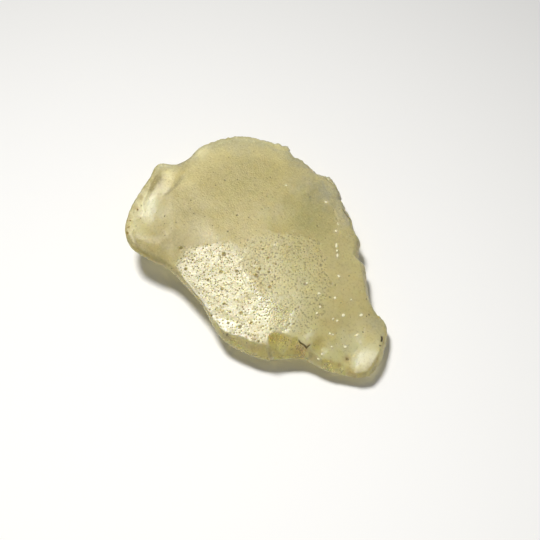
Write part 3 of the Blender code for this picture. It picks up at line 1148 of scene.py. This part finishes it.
glass = {
    "colour": (0.80, 0.72, 0.35, 1),
    "paler": (0.88, 0.795, 0.42, 1),
    # the bright zone's frosted pale tone, partly a painted highlight
    "brightColour": (0.98, 0.93, 0.58, 1),
    "beigeColour": (1.0, 0.90, 0.51, 1),
    # painted shade where the glass is thin
    "thinColour": (0.47, 0.44, 0.28, 1),
    "freshColour": (1.0, 0.87, 0.41, 1),
    "dirtAndShadeColour": (0.16, 0.115, 0.035, 1),
    "dirtBlack": (0.03, 0.022, 0.012, 1),
    # the patches: pale is painted highlight and glint, warm partly painted highlight, grey painted shade,
    # olive partly painted shade; green and brown are tints
    "pale": (1.0, 0.935, 0.62, 1),
    "warm": (1.0, 0.90, 0.46, 1),
    "green": (0.64, 0.62, 0.30, 1),
    "grey": (0.56, 0.55, 0.41, 1),
    "olive": (0.42, 0.37, 0.16, 1),
    "brown": (0.42, 0.27, 0.09, 1),
    # scale and detail of the noises
    "cloud": (0.22, 4.0),
    "mottle": (1.3, 5.0),
    "grain": (4.5, 4.0),
    "dustAndGlint": (3.0, 3.0),
    # how the mottling breaks a colour up, as factor and start
    "beigeMottle": (2.0, -0.4),
    "brightMottle": (1.2, 0.1),
    "patchMottle": 0.35,
    "brownMottle": 0.3,
    "dustAndGlintShare": (0.9, 0.55),  # in the beige zone, and elsewhere
    "darkDust": 0.53,
    "glintFrom": 0.47,
    "dustAndGlintContrast": 4.0,
    "blackFrom": 1.0,  # dirt over this turns black
    "blackContrast": 3.0,
    "roughness": 0.41,
    "brightRoughness": 0.347,
    "beigeRoughness": 0.375,
    "paleRoughness": 0.335,
    "freshRoughness": 0.30,
    "grainRoughness": (0.25, 0.15),  # in the bright zone, and everywhere
    "grainMiddle": 0.5,
    "dirtRoughness": 0.3,
    "relief": 1.5,
    "paleRelief": 0.7,  # how much less of it the pale stains have
    "bump": 0.5,
    "bumpHeight": 0.0001,
    "ior": 1.46,
    "transmission": 0.55,
    "haze": 1.0,
    "hazeReach": (0.003, 0.0026, 0.0012),
    "hazeScale": 1.0,
    "absorbColour": (0.82, 0.76, 0.16, 1),
    "absorbDensity": 60.0,
}


def glassFinish():
    finish = Finish("desert_glass_body")
    layers = ("bright", "beige", "thin", "fresh", "dirtAndShade", *tintsAndPaintedLight)
    share = {name: finish.add("Attribute", {"attribute_name": name}, out=2) for name in layers}
    noises = ("cloud", "mottle", "grain", "dustAndGlint")
    cloud, mottle, grain, dustAndGlint = (finish.clouds(*glass[name]) for name in noises)

    colour = finish.mix(cloud, glass["colour"], glass["paler"])
    # the beige zone takes its tint; the bright zone its frosted tone, partly a painted highlight
    for name in ("beige", "bright"):
        factor, start = glass[name + "Mottle"]
        broken = (mottle * factor + start).clamped()
        colour = finish.mix(share[name] * broken, colour, glass[name + "Colour"])
    # painted shade where the glass is thin
    colour = finish.mix(share["thin"], colour, glass["thinColour"])
    # tints, with painted highlight in pale and warm and painted shade in grey and olive
    for name in ("warm", "green", "grey", "pale", "olive"):
        blotched = (share[name] * (mottle + glass["patchMottle"])).clamped()
        colour = finish.mix(blotched, colour, glass[name])
    colour = finish.mix(share["fresh"], colour, glass["freshColour"])
    colour = finish.mix((share["brown"] * (mottle + glass["brownMottle"])).clamped(), colour, glass["brown"])
    # fine speckle: darker specks of dust, and pale specks that are painted glints
    inBeige, elsewhere = glass["dustAndGlintShare"]
    speckled = share["beige"] * inBeige + elsewhere
    dark = ((dustAndGlint - glass["darkDust"]) * glass["dustAndGlintContrast"]).clamped()
    pale = ((glass["glintFrom"] - dustAndGlint) * glass["dustAndGlintContrast"]).clamped()
    colour = finish.mix(dark * speckled, colour, glass["olive"])
    colour = finish.mix(pale * speckled, colour, glass["pale"])
    # dirt in the pits and marks, and painted shade in the head furrow
    colour = finish.mix(share["dirtAndShade"].clamped(), colour, glass["dirtAndShadeColour"])
    black = ((share["dirtAndShade"] - glass["blackFrom"]) * glass["blackContrast"]).clamped()
    colour = finish.mix(black, colour, glass["dirtBlack"])

    gloss = share["dirtAndShade"] * glass["dirtRoughness"] + glass["roughness"]
    for name in ("bright", "beige", "pale", "fresh"):
        gloss = gloss + share[name] * (glass[name + "Roughness"] - glass["roughness"])
    inBright, everywhere = glass["grainRoughness"]
    gloss = gloss + (grain - glass["grainMiddle"]) * (share["bright"] * inBright + everywhere)
    relief = grain * (glass["relief"] - share["bright"] - share["pale"].clamped() * glass["paleRelief"])
    shader = finish.add("BsdfPrincipled", {}, {
        "Base Color": colour,
        "Roughness": gloss,
        "IOR": glass["ior"],
        "Transmission Weight": glass["transmission"],
        "Subsurface Weight": glass["haze"],
        "Subsurface Radius": glass["hazeReach"],
        "Subsurface Scale": glass["hazeScale"],
        "Normal": finish.add("Bump", {}, {
            "Height": relief,
            "Strength": glass["bump"],
            "Distance": glass["bumpHeight"],
        }),
    })
    depth = finish.add("VolumeAbsorption", {}, {
        "Color": glass["absorbColour"],
        "Density": glass["absorbDensity"],
    })
    finish.add("OutputMaterial", {}, {"Surface": shader, "Volume": depth})
    return finish.material


speckFinish = {
    "colour": (0.84, 0.79, 0.54, 1),
    "darker": (0.72, 0.67, 0.42, 1),
    "roughness": 0.6,
    "grain": (4.0, 3.0),
    "bump": 0.3,
    "bumpHeight": 0.00004,
}


def whiteFinish():
    finish = Finish("white_speck")
    grain = finish.clouds(*speckFinish["grain"])
    shader = finish.add("BsdfPrincipled", {}, {
        "Base Color": finish.mix(grain, speckFinish["colour"], speckFinish["darker"]),
        "Roughness": speckFinish["roughness"],
        "Normal": finish.add("Bump", {}, {
            "Height": grain,
            "Strength": speckFinish["bump"],
            "Distance": speckFinish["bumpHeight"],
        }),
    })
    finish.add("OutputMaterial", {}, {"Surface": shader})
    return finish.material


floor = {
    "half": 1500.0,
    "colour": (0.93, 0.93, 0.92),
    "roughness": 0.6,
    "gloss": 0.0,
}


def makeFloor():
    half = floor["half"] * mm
    level = -stone["lift"] * mm
    corners = [(-half, -half, level), (half, -half, level), (half, half, level), (-half, half, level)]
    mesh = bpy.data.meshes.new("pale_floor")
    mesh.from_pydata(corners, [], [(0, 1, 2, 3)])
    finish = Finish("floor_white")
    shader = finish.add("BsdfPrincipled", {}, {
        "Base Color": floor["colour"] + (1,),
        "Roughness": floor["roughness"],
        "Specular IOR Level": floor["gloss"],
    })
    finish.add("OutputMaterial", {}, {"Surface": shader})
    mesh.materials.append(finish.material)
    linked(mesh.name, mesh)


light = {
    "towards": (-0.40, 0.03, 0.915),  # from the glass to the lamp
    "distance": 600.0,
    "diameter": 150.0,
    "power": 0.20,
    "spread": 40.0,  # degrees; it fades towards the far side of the floor
    "aim": (22.0, -42.0, 0.0),
    "colour": (1.0, 0.985, 0.96),
    "sky": 0.185,
    "skyColour": (0.98, 0.99, 1.0),
}


def makeLight():
    lamp = bpy.data.lights.new("soft_key", "AREA")
    lamp.shape = "DISK"
    lamp.size = light["diameter"] * mm
    lamp.energy = light["power"]
    lamp.spread = math.radians(light["spread"])
    lamp.color = light["colour"]
    key = linked(lamp.name, lamp)
    towards = Vector(light["towards"]).normalized()
    key.location = towards * light["distance"] * mm
    facing = (key.location - Vector(light["aim"]) * mm).normalized()
    key.rotation_euler = facing.to_track_quat("Z", "Y").to_euler()
    world = bpy.data.worlds.new("dim_room")
    world.use_nodes = True
    sky = world.node_tree.nodes["Background"]
    sky.inputs["Color"].default_value = light["skyColour"] + (1,)
    sky.inputs["Strength"].default_value = light["sky"]
    bpy.context.scene.world = world


makeCamera()
makeLight()
makeFloor()
bpy.context.scene.view_settings.view_transform = "Standard"
print("camera, lamp and floor made")

body = Body()
marks = Marks(body)
flake = buildStone(body, marks)
flake.data.materials.append(glassFinish())
whites = buildSpecks(body)
whites.data.materials.append(whiteFinish())
for piece in (flake, whites):
    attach(piece, "root")
    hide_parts(stone["node"])
print("finishes made, pieces on the body")
